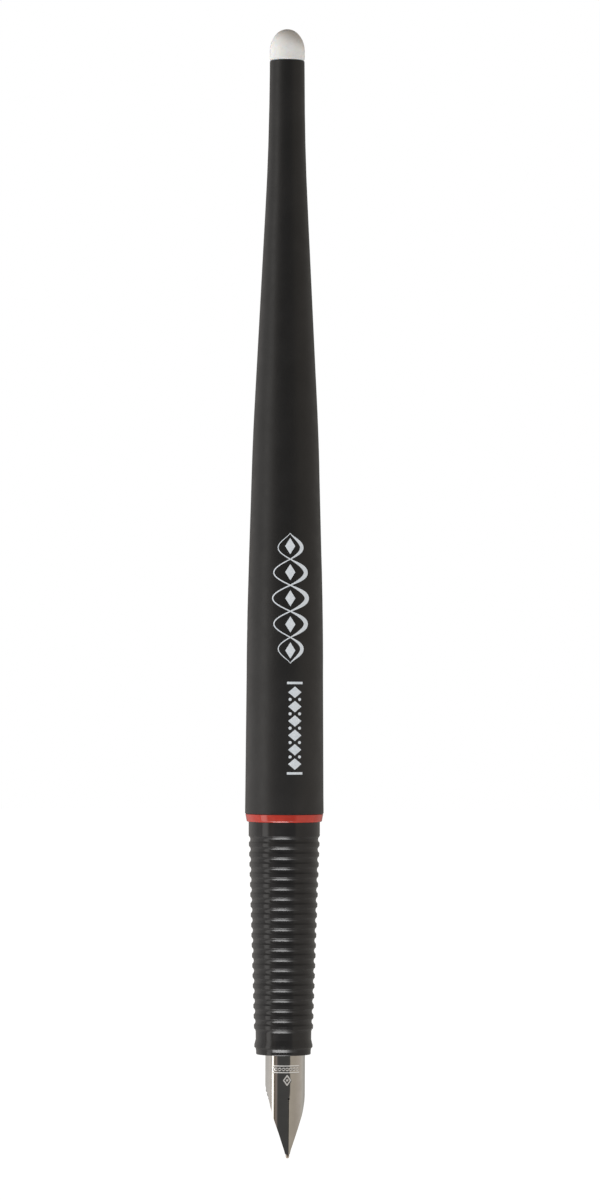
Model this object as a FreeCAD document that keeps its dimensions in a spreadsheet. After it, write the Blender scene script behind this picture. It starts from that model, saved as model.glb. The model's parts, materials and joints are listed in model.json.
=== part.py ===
import FreeCAD, Part
import os

import Sketcher

# A fountain pen for sketching and lettering, drawn uncapped, in millimetres.
#
# Z is the pen's axis. The origin lies on it, level with the writing point, and the tail points
# up. The upper face of the nib looks towards -Y. Every *_z below is a height along that axis.

SIZES = {
    # How far an outline that cuts waste away stands clear of the part.
    "waste_margin": 1.0,
    # Barrel, outside: three straight stretches joined by long arcs, thickest at the mouth.
    "ring_gap": 0.02,
    "barrel_mouth_z": 57.62,
    "barrel_mouth_radius": 6.62,
    "barrel_mouth_chamfer": 0.12,
    "barrel_belly_z": 83.67,
    "barrel_belly_radius": 6.43,
    "barrel_belly_arc": 714.0,
    "barrel_waist_z": 98.57,
    "barrel_waist_radius": 6.17,
    "barrel_hip_z": 116.67,
    "barrel_hip_radius": 5.66,
    "barrel_hip_arc": 531.0,
    "barrel_taper_z": 128.87,
    "barrel_taper_radius": 5.14,
    "barrel_neck_z": 159.17,
    "barrel_neck_radius": 3.59,
    "barrel_neck_arc": 416.0,
    "barrel_tail_z": 175.67,
    "barrel_tail_radius": 3.02,
    "barrel_end_z": 184.37,
    "barrel_end_radius": 2.93,
    "tail_round": 0.27,
    # Barrel, inside: a chamber that holds the converter and thins towards the tail.
    "mouth_counterbore_radius": 5.5,
    "mouth_counterbore_depth": 0.65,
    "thread_bore_radius": 5.0,
    "thread_bore_end_z": 67.97,
    "chamber_radius": 4.5,
    "chamber_start_z": 68.87,
    "chamber_end_z": 107.67,
    "chamber_mid_radius": 3.95,
    "chamber_mid_z": 133.67,
    "chamber_tail_radius": 2.3,
    "chamber_tail_z": 157.67,
    "chamber_tip_radius": 1.7,
    "plug_bore_radius": 1.95,
    "plug_bore_z": 178.27,
    # Tail plug: a push-in spigot under a domed end.
    "plug_spigot_radius": 1.93,
    "plug_spigot_z": 178.47,
    "plug_lead_in": 0.4,
    "dome_radius": 2.95,
    "dome_base_z": 186.02,
    "dome_shoulder_radius": 1.836,
    "dome_shoulder_z": 188.867,
    "dome_side_arc": 4.194,
    "dome_top_z": 189.67,
    # Red trim ring, trapped between the grip's collar and the barrel.
    "ring_bore_radius": 5.43,
    "ring_foot_radius": 6.36,
    "ring_head_radius": 6.54,
    "ring_round": 0.12,
    # Grip section: lip, bead, neck, finger ribs, collar.
    "grip_front_z": 17.25,
    "lip_radius": 4.6,
    "lip_chamfer_run": 0.04,
    "lip_chamfer_rise": 0.12,
    "lip_top_z": 17.8,
    "bead_start_z": 18.24,
    "bead_foot_radius": 4.672,
    "bead_crest_z": 18.45,
    "bead_radius": 4.9,
    "bead_crest_end_z": 18.84,
    "bead_slope_z": 19.77,
    "neck_radius": 4.675,
    "rib_first_z": 21.89,
    "rib_pitch": 1.7,
    "rib_first_radius": 4.985,
    "rib_radius_step": 0.0538,
    "rib_depth": 0.27,
    "rib_land_half": 0.25,
    "rib_corner_run": 0.09,
    "collar_start_z": 53.94,
    "collar_radius": 6.0,
    "collar_end_z": 56.27,
    "spigot_radius": 5.38,
    "spigot_end_z": 57.52,
    "thread_core_radius": 4.85,
    "thread_core_z": 57.77,
    "grip_end_z": 67.17,
    "grip_end_chamfer": 0.35,
    # Grip section, inside: nib bore, web with the piercing tube, converter socket.
    "nib_bore_radius": 3.72,
    "web_front_z": 45.67,
    "web_back_z": 47.27,
    "socket_radius": 3.95,
    "nipple_radius": 1.25,
    "nipple_bore_radius": 0.75,
    "nipple_cone_z": 52.87,
    "nipple_tip_radius": 0.95,
    "nipple_end_z": 53.67,
    # Barrel thread: one start, right hand.
    "thread_lead": 1.25,
    "thread_first_z": 58.97,
    "thread_length": 5.5,
    "thread_crest_radius": 5.35,
    "thread_crest_half": 0.175,
    "thread_root_half": 0.425,
    "thread_clearance": 0.11,
    "thread_overlap": 0.05,
    # Nib: a steel sheet rolled about the pen's axis.
    "nib_radius": 3.65,
    "nib_thickness": 0.3,
    "nib_wrap": 140.0,
    "nib_heel_z": 27.67,
    "nib_tip_z": 0.65,
    "nib_tip_half": 0.43,
    "nib_tine_half": 2.55,
    "nib_tine_z": 6.95,
    "nib_shoulder_arc": 15.5,
    "nib_side_half": 3.43,
    "nib_body_z": 11.9,
    "slit_width": 0.08,
    "breather_radius": 0.15,
    "breather_z": 10.0,
    # Writing point: a rounded pellet welded under the tines, split by the slit.
    "point_radius": 0.34,
    "point_offset": 3.5,
    # Feed: a finned comb under the nib.
    "feed_front_z": 4.3,
    "feed_top_radius": 3.3,
    "feed_body_z": 17.35,
    "feed_body_radius": 3.66,
    "feed_end_z": 45.27,
    "feed_seat_wrap": 146.0,
    "feed_seat_end_z": 27.87,
    "feed_front_half": 0.8,
    "feed_side_half": 2.6,
    "feed_side_z": 11.0,
    "feed_belly": 2.3,
    "feed_knee": 1.7,
    "feed_knee_z": 12.5,
    "feed_chin": -2.45,
    "feed_chin_arc": 10.0,
    "comb_first_z": 8.3,
    "comb_pitch": 0.75,
    "comb_slot": 0.28,
    "comb_spine": 1.2,
    "buffer_first_z": 18.67,
    "buffer_pitch": 1.0,
    "channel_width": 0.35,
    "channel_floor": 2.6,
    "channel_join_z": 32.67,
    "core_radius": 0.55,
    "core_front_z": 35.67,
    "core_end_z": 53.17,
    "core_slot_width": 0.2,
    # Converter: a clear reservoir with a screw-driven piston.
    "mouth_front_z": 47.87,
    "mouth_bore_radius": 1.3,
    "mouth_bore_end_z": 54.27,
    "reservoir_radius": 2.72,
    "reservoir_start_z": 55.67,
    "tube_radius": 3.65,
    "tube_lead_in": 0.5,
    "tube_neck_z": 84.67,
    "tube_neck_radius": 3.35,
    "guide_seat_z": 83.67,
    "guide_radius": 2.95,
    "tube_end_z": 89.67,
    "guide_end_z": 86.67,
    "seal_front_z": 78.27,
    "seal_end_z": 82.67,
    "seal_radius": 2.67,
    "seal_waist_radius": 2.3,
    "seal_lip": 1.0,
    "rod_foot_radius": 1.0,
    "rod_foot_z": 79.67,
    "rod_flange_radius": 1.9,
    "rod_flange_end_z": 83.17,
    "rod_core_radius": 1.25,
    "rod_crest_radius": 1.6,
    "rod_flat_half": 1.15,
    "rod_end_z": 116.07,
    "rod_lead": 3.0,
    "rod_tooth_z": 87.67,
    "rod_tooth_length": 27.0,
    "rod_crest_half": 0.2,
    "rod_root_half": 0.45,
    "rod_clearance": 0.1,
    "nut_front_z": 89.87,
    "nut_bore_radius": 1.4,
    "nut_flange_radius": 3.3,
    "nut_flange_end_z": 91.07,
    "nut_neck_radius": 2.6,
    "nut_thread_end_z": 93.87,
    "nut_clear_radius": 1.75,
    "nut_end_z": 102.67,
    "sleeve_radius": 3.78,
    "sleeve_step_z": 91.27,
    "sleeve_lip_radius": 2.7,
    "sleeve_end_z": 96.67,
    "sleeve_groove_depth": 0.15,
    "sleeve_groove_half": 0.3,
    "sleeve_groove_inset": 1.6,
    "knob_front_z": 96.87,
    "knob_radius": 3.55,
    "knob_bore_radius": 1.85,
    "knob_bore_end_z": 116.57,
    "knob_end_z": 117.67,
    "knob_round": 0.6,
    "flute_radius": 0.3,
    "flute_circle_radius": 3.65,
    "flute_start_z": 98.67,
    "flute_end_z": 115.17,
}

RIBS = 19
COMB_SLOTS = 11
BUFFER_SLOTS = 25
KNOB_FLUTES = 20

DOC = FreeCAD.newDocument("sketching_pen")
SHEET_NAME = "Sizes"


class Size:
    """A length that carries its number and the sheet expression that gives it."""

    def __init__(self, value, text):
        self.value = value
        self.text = text

    def __add__(self, other):
        return combined(self, "+", other)

    def __sub__(self, other):
        return combined(self, "-", other)

    def __mul__(self, other):
        return combined(self, "*", other)

    def __truediv__(self, other):
        return combined(self, "/", other)

    def __neg__(self):
        return Size(-self.value, "(-1 * " + self.text + ")")

    def root(self):
        return Size(self.value**0.5, "sqrt(" + self.text + ")")


def as_size(number):
    """A plain number as a Size."""
    if isinstance(number, Size):
        return number
    return Size(number, repr(number))


def combined(left, sign, right):
    """The sum, difference, product or quotient of two sizes."""
    right = as_size(right)
    results = {
        "+": lambda: left.value + right.value,
        "-": lambda: left.value - right.value,
        "*": lambda: left.value * right.value,
        "/": lambda: left.value / right.value,
    }
    return Size(results[sign](), "(" + left.text + " " + sign + " " + right.text + ")")


class Sizes:
    """The spreadsheet's cells, by alias."""

    def __init__(self, table):
        sheet = DOC.addObject("Spreadsheet::Sheet", SHEET_NAME)
        for row, (alias, number) in enumerate(table.items(), start=1):
            sheet.set("A%d" % row, alias)
            sheet.set("B%d" % row, str(number))
            sheet.setAlias("B%d" % row, alias)
            setattr(self, alias, Size(float(number), SHEET_NAME + "." + alias))


def bind(thing, prop, size):
    """Drive one property from the sheet."""
    thing.setExpression(prop, as_size(size).text)


def arc_radius(half_chord, rise):
    """Radius of the arc that rises by rise over a chord of twice half_chord."""
    return (half_chord * half_chord + rise * rise) / (rise * 2)


# ---------------------------------------------------------------- sketches and features


def new_body(label):
    """An empty body whose label is its node's name."""
    body = DOC.addObject("PartDesign::Body", label)
    body.Label = label
    body.Placement = FreeCAD.Placement()
    return body


def new_sketch(body, name, plane, offset=None):
    """A sketch on one of the body's origin planes, moved out along its normal by offset."""
    sketch = body.newObject("Sketcher::SketchObject", name)
    role = next(part for part in body.Origin.OriginFeatures if part.Role == plane)
    sketch.AttachmentSupport = (role, "")
    sketch.MapMode = "FlatFace"
    if offset is not None:
        bind(sketch, "AttachmentOffset.Base.z", offset)
    return sketch


class Outline:
    """A closed outline of lines and arcs, every corner of which is placed from the sheet.

    In the XZ plane a corner is (distance from the axis, height).
    """

    def __init__(self, sketch):
        self.sketch = sketch
        self.corners = []
        self.bends = []

    def start(self, across, up):
        self.corners.append((as_size(across), as_size(up)))
        return self

    def line(self, across, up):
        self.bends.append(None)
        return self.start(across, up)

    def arc(self, across, up, radius, side):
        """An arc to a corner, bulging to the left (1) or right (-1) of the way there."""
        self.bends.append((as_size(radius), side))
        return self.start(across, up)

    def close(self, radius=None, side=-1):
        """Close the outline, with a line or an arc, and write it into the sketch."""
        self.bends.append(None if radius is None else (as_size(radius), side))
        starts = []
        ends = []
        for number, bend in enumerate(self.bends):
            here = point_of(self.corners[number])
            there = point_of(self.corners[(number + 1) % len(self.corners)])
            shape = Part.LineSegment(here, there)
            if bend is not None:
                shape = Part.Arc(here, arc_middle(here, there, bend[0].value, bend[1]), there)
            edge = self.sketch.addGeometry(shape, False)
            forward = self.sketch.getPoint(edge, 1).distanceToPoint(here) < 1e-7
            starts.append((edge, 1 if forward else 2))
            ends.append((edge, 2 if forward else 1))
        rules = Rules(self.sketch)
        for number, bend in enumerate(self.bends):
            rules.add(Sketcher.Constraint("Coincident", *ends[number - 1], *starts[number]))
            rules.place(starts[number], self.corners[number])
            if bend is not None:
                edge = starts[number][0]
                rules.add(Sketcher.Constraint("Radius", edge, bend[0].value), bend[0])
        rules.write()
        return self.sketch


class Rules:
    """Constraints gathered for a sketch, with the sheet sizes that drive them."""

    def __init__(self, sketch):
        self.sketch = sketch
        self.rules = []
        self.sizes = []

    def add(self, rule, size=None):
        self.rules.append(rule)
        self.sizes.append(size)

    def place(self, spot, corner):
        """Tie a sketch point to its two coordinates."""
        for kind, axis, size in (("DistanceX", -2, corner[0]), ("DistanceY", -1, corner[1])):
            if abs(size.value) < 1e-9:
                self.add(Sketcher.Constraint("PointOnObject", *spot, axis))
            elif size.value > 0:
                self.add(Sketcher.Constraint(kind, -1, 1, *spot, size.value), size)
            else:
                self.add(Sketcher.Constraint(kind, *spot, -1, 1, -size.value), -size)

    def write(self):
        """Add the constraints all at once, then bind each one that has a size."""
        first = self.sketch.ConstraintCount
        self.sketch.addConstraint(self.rules)
        for number, size in enumerate(self.sizes):
            if size is not None:
                bind(self.sketch, "Constraints[%d]" % (first + number), size)


def point_of(corner):
    """The sketch point of a corner given as two sizes."""
    return FreeCAD.Vector(corner[0].value, corner[1].value, 0)


def arc_middle(here, there, radius, side):
    """The middle of the arc between two points, on the left (1) or right (-1) of the chord."""
    chord = there - here
    half = chord.Length / 2
    rise = radius - (radius * radius - half * half) ** 0.5
    normal = FreeCAD.Vector(-chord.y, chord.x, 0).normalize()
    return (here + there) * 0.5 + normal * (rise * side)


def rectangle(sketch, low_across, low_up, high_across, high_up):
    """A rectangle between two opposite corners."""
    outline = Outline(sketch)
    outline.start(low_across, low_up)
    outline.line(high_across, low_up)
    outline.line(high_across, high_up)
    outline.line(low_across, high_up)
    return outline.close()


def circle(sketch, across, up, radius):
    """A circle with its centre and radius placed from the sheet."""
    across = as_size(across)
    up = as_size(up)
    radius = as_size(radius)
    centre = FreeCAD.Vector(across.value, up.value, 0)
    normal = FreeCAD.Vector(0, 0, 1)
    edge = sketch.addGeometry(Part.Circle(centre, normal, radius.value), False)
    rules = Rules(sketch)
    rules.place((edge, 3), (across, up))
    rules.add(Sketcher.Constraint("Radius", edge, radius.value), radius)
    rules.write()
    return sketch


def revolve(body, name, sketch, angle=None):
    """Turn a sketch about the pen's axis: all the way, or by angle, half to each side."""
    feature = body.newObject("PartDesign::Revolution", name)
    feature.Profile = sketch
    feature.ReferenceAxis = (sketch, ["V_Axis"])
    feature.Angle = 360
    if angle is not None:
        feature.Midplane = True
        bind(feature, "Angle", angle)
    return feature


def groove(body, name, sketch, angle):
    """Cut a turned recess of the given angle, half to each side of the sketch."""
    feature = body.newObject("PartDesign::Groove", name)
    feature.Profile = sketch
    feature.ReferenceAxis = (sketch, ["V_Axis"])
    feature.Midplane = True
    bind(feature, "Angle", angle)
    return feature


def helix(body, name, kind, sketch, lead, length):
    """Sweep a tooth, or the space for one, up a right-hand helix about the pen's axis."""
    feature = body.newObject("PartDesign::" + kind, name)
    feature.Profile = sketch
    feature.ReferenceAxis = (sketch, ["V_Axis"])
    feature.Mode = "pitch-height-angle"
    feature.Reversed = False
    bind(feature, "Pitch", lead)
    bind(feature, "Height", length)
    return feature


def cut_through(body, name, sketch):
    """Cut a sketch right through, to both sides of its plane."""
    feature = body.newObject("PartDesign::Pocket", name)
    feature.Profile = sketch
    feature.Type = "ThroughAll"
    feature.Midplane = True
    return feature


def cut_one_way(body, name, sketch, along_normal):
    """Cut a sketch through everything on one side of its plane."""
    feature = body.newObject("PartDesign::Pocket", name)
    feature.Profile = sketch
    feature.Type = "ThroughAll"
    feature.Midplane = False
    feature.Reversed = along_normal
    return feature


def row_of(body, name, feature, pitch, count):
    """Repeat a feature up the pen's axis."""
    pattern = body.newObject("PartDesign::LinearPattern", name)
    pattern.Originals = [feature]
    z_axis = next(part for part in body.Origin.OriginFeatures if part.Role == "Z_Axis")
    pattern.Direction = (z_axis, [""])
    bind(pattern, "Length", pitch * (count - 1))
    pattern.Occurrences = count
    body.Tip = pattern
    return pattern


def ring_of(body, name, feature, count):
    """Repeat a feature all round the pen's axis."""
    pattern = body.newObject("PartDesign::PolarPattern", name)
    pattern.Originals = [feature]
    z_axis = next(part for part in body.Origin.OriginFeatures if part.Role == "Z_Axis")
    pattern.Axis = (z_axis, [""])
    pattern.Angle = 360
    pattern.Occurrences = count
    body.Tip = pattern
    return pattern


def tooth(sketch, foot_radius, foot_half, crest_radius, crest_half, middle_z):
    """A thread tooth's section: wide at the foot, narrow at the crest."""
    outline = Outline(sketch)
    outline.start(foot_radius, middle_z - foot_half)
    outline.line(crest_radius, middle_z - crest_half)
    outline.line(crest_radius, middle_z + crest_half)
    outline.line(foot_radius, middle_z + foot_half)
    return outline.close()


# ---------------------------------------------------------------- barrel and trim


def make_barrel(size):
    body = new_body("barrel")
    wall = Outline(new_sketch(body, "barrel_wall", "XZ_Plane"))
    # Mouth and outside, from the grip to the tail.
    wall.start(size.mouth_counterbore_radius, size.barrel_mouth_z)
    chamfer = size.barrel_mouth_chamfer
    wall.line(size.barrel_mouth_radius - chamfer, size.barrel_mouth_z)
    wall.line(size.barrel_mouth_radius, size.barrel_mouth_z + chamfer)
    wall.line(size.barrel_belly_radius, size.barrel_belly_z)
    wall.arc(size.barrel_waist_radius, size.barrel_waist_z, size.barrel_belly_arc, -1)
    wall.line(size.barrel_hip_radius, size.barrel_hip_z)
    wall.arc(size.barrel_taper_radius, size.barrel_taper_z, size.barrel_hip_arc, -1)
    wall.line(size.barrel_neck_radius, size.barrel_neck_z)
    wall.arc(size.barrel_tail_radius, size.barrel_tail_z, size.barrel_neck_arc, 1)
    wall.line(size.barrel_end_radius, size.barrel_end_z - size.tail_round)
    wall.arc(size.barrel_end_radius - size.tail_round, size.barrel_end_z, size.tail_round, -1)
    # Chamber, from the tail back to the mouth.
    wall.line(size.plug_bore_radius, size.barrel_end_z)
    wall.line(size.plug_bore_radius, size.plug_bore_z)
    wall.line(size.chamber_tip_radius, size.plug_bore_z)
    wall.line(size.chamber_tail_radius, size.chamber_tail_z)
    wall.line(size.chamber_mid_radius, size.chamber_mid_z)
    wall.line(size.chamber_radius, size.chamber_end_z)
    wall.line(size.chamber_radius, size.chamber_start_z)
    wall.line(size.thread_bore_radius, size.thread_bore_end_z)
    counterbore_z = size.barrel_mouth_z + size.mouth_counterbore_depth
    wall.line(size.thread_bore_radius, counterbore_z)
    wall.line(size.mouth_counterbore_radius, counterbore_z)
    revolve(body, "barrel_turned", wall.close())
    # The thread space is the grip's tooth, one clearance larger all round, and starts a turn
    # below it, in the counterbore.
    space = new_sketch(body, "barrel_thread_space", "XZ_Plane")
    clearance = size.thread_clearance
    tooth(
        space,
        size.thread_core_radius + clearance,
        size.thread_root_half + clearance,
        size.thread_crest_radius + clearance,
        size.thread_crest_half + clearance,
        size.thread_first_z - size.thread_lead,
    )
    length = size.thread_length + size.thread_lead * 2
    helix(body, "barrel_thread", "SubtractiveHelix", space, size.thread_lead, length)
    return body


def make_tail_plug(size):
    body = new_body("tail_plug")
    plug = Outline(new_sketch(body, "plug_half", "XZ_Plane"))
    plug.start(0.0, size.plug_spigot_z)
    plug.line(size.plug_spigot_radius - size.plug_lead_in, size.plug_spigot_z)
    plug.line(size.plug_spigot_radius, size.plug_spigot_z + size.plug_lead_in)
    plug.line(size.plug_spigot_radius, size.barrel_end_z)
    plug.line(size.dome_radius - size.tail_round, size.barrel_end_z)
    plug.arc(size.dome_radius, size.barrel_end_z + size.tail_round, size.tail_round, -1)
    plug.line(size.dome_radius, size.dome_base_z)
    plug.arc(size.dome_shoulder_radius, size.dome_shoulder_z, size.dome_side_arc, -1)
    # The last arc's centre lies on the axis, so the top is a piece of a sphere.
    top_rise = size.dome_top_z - size.dome_shoulder_z
    top_arc = arc_radius(size.dome_shoulder_radius, top_rise)
    plug.arc(0.0, size.dome_top_z, top_arc, -1)
    revolve(body, "plug_turned", plug.close())
    return body


def make_red_ring(size):
    body = new_body("red_ring")
    low_z = size.collar_end_z + size.ring_gap
    high_z = size.barrel_mouth_z - size.ring_gap
    ring = Outline(new_sketch(body, "ring_section", "XZ_Plane"))
    ring.start(size.ring_bore_radius, low_z)
    ring.line(size.ring_foot_radius - size.ring_round, low_z)
    ring.arc(size.ring_foot_radius, low_z + size.ring_round, size.ring_round, -1)
    ring.line(size.ring_head_radius, high_z - size.ring_round)
    ring.arc(size.ring_head_radius - size.ring_round, high_z, size.ring_round, -1)
    ring.line(size.ring_bore_radius, high_z)
    revolve(body, "ring_turned", ring.close())
    return body


# ---------------------------------------------------------------- grip section


def rib_line(size, height_above_first):
    """Radius of the cone that joins the ribs' crests, at a height above the first crest."""
    return size.rib_first_radius + height_above_first / size.rib_pitch * size.rib_radius_step


def add_ribs(size, wall):
    """Round-bottomed grooves with rounded corners between narrow lands, up a shallow cone."""
    land_half = size.rib_land_half
    corner_run = size.rib_corner_run
    shoulder_half = land_half + corner_run
    half_pitch = size.rib_pitch / 2
    valley_half = half_pitch - shoulder_half
    corner_drop = size.rib_depth * corner_run / (half_pitch - land_half)
    valley_rise = size.rib_depth - corner_drop
    corner_arc = arc_radius(corner_run, corner_drop)
    valley_arc = arc_radius(valley_half, valley_rise)
    # The neck runs into the bottom of the first groove.
    wall.line(rib_line(size, -half_pitch) - size.rib_depth, size.rib_first_z - half_pitch)
    for rib in range(RIBS):
        crest = size.rib_pitch * rib
        for reach, drop, radius, side in (
            (-shoulder_half, corner_drop, valley_arc, 1),
            (-land_half, 0.0, corner_arc, -1),
            (land_half, 0.0, None, 0),
            (shoulder_half, corner_drop, corner_arc, -1),
        ):
            across = rib_line(size, crest + reach) - drop
            up = size.rib_first_z + crest + reach
            if radius is None:
                wall.line(across, up)
            else:
                wall.arc(across, up, radius, side)
    last_valley_end = size.rib_pitch * (RIBS - 0.5) + valley_half
    collar_foot = rib_line(size, last_valley_end) - corner_drop
    wall.arc(collar_foot, size.rib_first_z + last_valley_end, valley_arc, 1)


def make_grip_section(size):
    body = new_body("grip_section")
    wall = Outline(new_sketch(body, "grip_wall", "XZ_Plane"))
    # Front lip, bead and neck.
    wall.start(size.nib_bore_radius, size.grip_front_z)
    wall.line(size.lip_radius - size.lip_chamfer_run, size.grip_front_z)
    wall.line(size.lip_radius, size.grip_front_z + size.lip_chamfer_rise)
    wall.line(size.lip_radius, size.lip_top_z)
    wall.line(size.bead_foot_radius, size.bead_start_z)
    wall.line(size.bead_radius, size.bead_crest_z)
    wall.line(size.bead_radius, size.bead_crest_end_z)
    wall.line(size.neck_radius, size.bead_slope_z)
    add_ribs(size, wall)
    # Collar that the cap seats on, spigot for the ring, core of the barrel thread.
    wall.line(size.collar_radius, size.collar_start_z)
    wall.line(size.collar_radius, size.collar_end_z)
    wall.line(size.spigot_radius, size.collar_end_z)
    wall.line(size.spigot_radius, size.spigot_end_z)
    wall.line(size.thread_core_radius, size.thread_core_z)
    wall.line(size.thread_core_radius, size.grip_end_z - size.grip_end_chamfer)
    wall.line(size.thread_core_radius - size.grip_end_chamfer, size.grip_end_z)
    # Converter socket, piercing tube, web and nib bore.
    wall.line(size.socket_radius, size.grip_end_z)
    wall.line(size.socket_radius, size.web_back_z)
    wall.line(size.nipple_radius, size.web_back_z)
    wall.line(size.nipple_radius, size.nipple_cone_z)
    wall.line(size.nipple_tip_radius, size.nipple_end_z)
    wall.line(size.nipple_bore_radius, size.nipple_end_z)
    wall.line(size.nipple_bore_radius, size.web_front_z)
    wall.line(size.nib_bore_radius, size.web_front_z)
    revolve(body, "grip_turned", wall.close())
    section = new_sketch(body, "grip_tooth", "XZ_Plane")
    tooth(
        section,
        size.thread_core_radius - size.thread_overlap,
        size.thread_root_half,
        size.thread_crest_radius,
        size.thread_crest_half,
        size.thread_first_z,
    )
    helix(body, "grip_thread", "AdditiveHelix", section, size.thread_lead, size.thread_length)
    return body


# ---------------------------------------------------------------- nib and feed


def make_nib(size):
    body = new_body("nib")
    # The rolled sheet.
    sheet = new_sketch(body, "nib_sheet", "YZ_Plane")
    inner = -(size.nib_radius - size.nib_thickness)
    rectangle(sheet, -size.nib_radius, size.nib_tip_z, inner, size.nib_heel_z)
    revolve(body, "nib_rolled", sheet, size.nib_wrap)
    # Everything outside the leaf-shaped outline is cut off, on both sides.
    outside = size.nib_radius + size.waste_margin
    below = size.nib_tip_z - size.waste_margin
    waste = new_sketch(body, "nib_outline", "XZ_Plane")
    for side in (1.0, -1.0):
        edge = Outline(waste)
        edge.start(size.nib_tip_half * side, size.nib_tip_z)
        edge.line(size.nib_tine_half * side, size.nib_tine_z)
        edge.arc(size.nib_side_half * side, size.nib_body_z, size.nib_shoulder_arc, -side)
        edge.line(outside * side, size.nib_body_z)
        edge.line(outside * side, below)
        edge.line(size.nib_tip_half * side, below)
        edge.close()
    cut_through(body, "nib_trimmed", waste)
    # Slit between the tines, up to the breather hole.
    slit = new_sketch(body, "nib_slit", "XZ_Plane")
    half = size.slit_width / 2
    rectangle(slit, -half, below, half, size.breather_z)
    cut_through(body, "nib_slit_cut", slit)
    hole = new_sketch(body, "nib_breather", "XZ_Plane")
    circle(hole, 0.0, size.breather_z, size.breather_radius)
    cut_through(body, "nib_breather_cut", hole)
    return body


def make_nib_point(size):
    """Two half pellets, one on the end of each tine."""
    ball = DOC.addObject("Part::Sphere", "point_ball")
    bind(ball, "Radius", size.point_radius)
    bind(ball, "Placement.Base.y", -size.point_offset)
    bind(ball, "Placement.Base.z", size.point_radius)
    shank = DOC.addObject("Part::Cylinder", "point_shank")
    bind(shank, "Radius", size.point_radius)
    bind(shank, "Height", size.nib_tip_z - size.point_radius)
    bind(shank, "Placement.Base.y", -size.point_offset)
    bind(shank, "Placement.Base.z", size.point_radius)
    whole = DOC.addObject("Part::Fuse", "point_whole")
    whole.Base = ball
    whole.Tool = shank
    # Two blocks of waste: all that stands above the tines' ends, and the slit.
    above = DOC.addObject("Part::Box", "point_above")
    slit = DOC.addObject("Part::Box", "point_slit")
    for block, width, base_z in (
        (above, size.waste_margin * 2, size.nib_tip_z),
        (slit, size.slit_width, size.nib_tip_z - size.waste_margin * 2),
    ):
        bind(block, "Length", width)
        bind(block, "Width", size.waste_margin * 2)
        bind(block, "Height", size.waste_margin * 2)
        bind(block, "Placement.Base.x", -(width / 2))
        bind(block, "Placement.Base.y", -size.point_offset - size.waste_margin)
        bind(block, "Placement.Base.z", base_z)
    waste = DOC.addObject("Part::Fuse", "point_waste")
    waste.Base = above
    waste.Tool = slit
    point = DOC.addObject("Part::Cut", "nib_point")
    point.Label = "nib_point"
    point.Base = whole
    point.Tool = waste
    return point


def make_feed(size):
    body = new_body("feed")
    blank = Outline(new_sketch(body, "feed_blank", "XZ_Plane"))
    blank.start(0.0, size.feed_front_z)
    blank.line(size.feed_top_radius, size.feed_front_z)
    blank.line(size.feed_top_radius, size.feed_body_z)
    blank.line(size.feed_body_radius, size.feed_body_z)
    blank.line(size.feed_body_radius, size.feed_end_z)
    blank.line(size.core_radius, size.feed_end_z)
    blank.line(size.core_radius, size.core_front_z)
    blank.line(0.0, size.core_front_z)
    revolve(body, "feed_turned", blank.close())
    outside = size.feed_body_radius + size.waste_margin
    below = size.feed_front_z - size.waste_margin
    # Seat that the nib's heel lies in.
    seat = new_sketch(body, "feed_seat", "YZ_Plane")
    rectangle(seat, -outside, below, -size.feed_top_radius, size.feed_seat_end_z)
    groove(body, "feed_seat_cut", seat, size.feed_seat_wrap)
    # Sides of the exposed front, narrower than the nib.
    sides = new_sketch(body, "feed_sides", "XZ_Plane")
    for side in (1.0, -1.0):
        edge = Outline(sides)
        edge.start(size.feed_front_half * side, below)
        edge.line(size.feed_front_half * side, size.feed_front_z)
        edge.line(size.feed_side_half * side, size.feed_side_z)
        edge.line(size.feed_side_half * side, size.feed_body_z)
        edge.line(outside * side, size.feed_body_z)
        edge.line(outside * side, below)
        edge.close()
    cut_through(body, "feed_sides_cut", sides)
    # Underside of the exposed front, curving up to the chin.
    chin = Outline(new_sketch(body, "feed_underside", "YZ_Plane"))
    chin.start(size.feed_chin, below)
    chin.line(size.feed_chin, size.feed_front_z)
    chin.arc(size.feed_knee, size.feed_knee_z, size.feed_chin_arc, -1)
    chin.line(size.feed_belly, size.feed_body_z)
    chin.line(outside, size.feed_body_z)
    chin.line(outside, below)
    cut_through(body, "feed_underside_cut", chin.close())
    # Comb of thin fins under the nib, and the buffer fins inside the grip.
    for name, first_z, pitch, count in (
        ("comb", size.comb_first_z, size.comb_pitch, COMB_SLOTS),
        ("buffer", size.buffer_first_z, size.buffer_pitch, BUFFER_SLOTS),
    ):
        slot = new_sketch(body, name + "_slot", "XZ_Plane", size.comb_spine)
        rectangle(slot, -outside, first_z, outside, first_z + size.comb_slot)
        cut = cut_one_way(body, name + "_slot_cut", slot, False)
        row_of(body, name + "_slots", cut, pitch, count)
    # Capillary channel under the slit, and the passage that joins it to the core.
    half = size.channel_width / 2
    channel = new_sketch(body, "feed_channel", "XZ_Plane", size.channel_floor)
    rectangle(channel, -half, below, half, size.core_front_z)
    cut_one_way(body, "feed_channel_cut", channel, True)
    join = new_sketch(body, "feed_join", "XZ_Plane")
    rectangle(join, -half, size.channel_join_z, half, size.core_front_z)
    cut_one_way(body, "feed_join_cut", join, True)
    return body


def make_feed_core(size):
    body = new_body("feed_core")
    rod = new_sketch(body, "core_section", "XZ_Plane")
    rectangle(rod, 0.0, size.core_front_z, size.core_radius, size.core_end_z)
    revolve(body, "core_turned", rod)
    slot = new_sketch(body, "core_slot", "XZ_Plane")
    half = size.core_slot_width / 2
    below = size.core_front_z - size.waste_margin
    above = size.core_end_z + size.waste_margin
    rectangle(slot, -half, below, half, above)
    cut_one_way(body, "core_slot_cut", slot, True)
    return body


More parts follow.
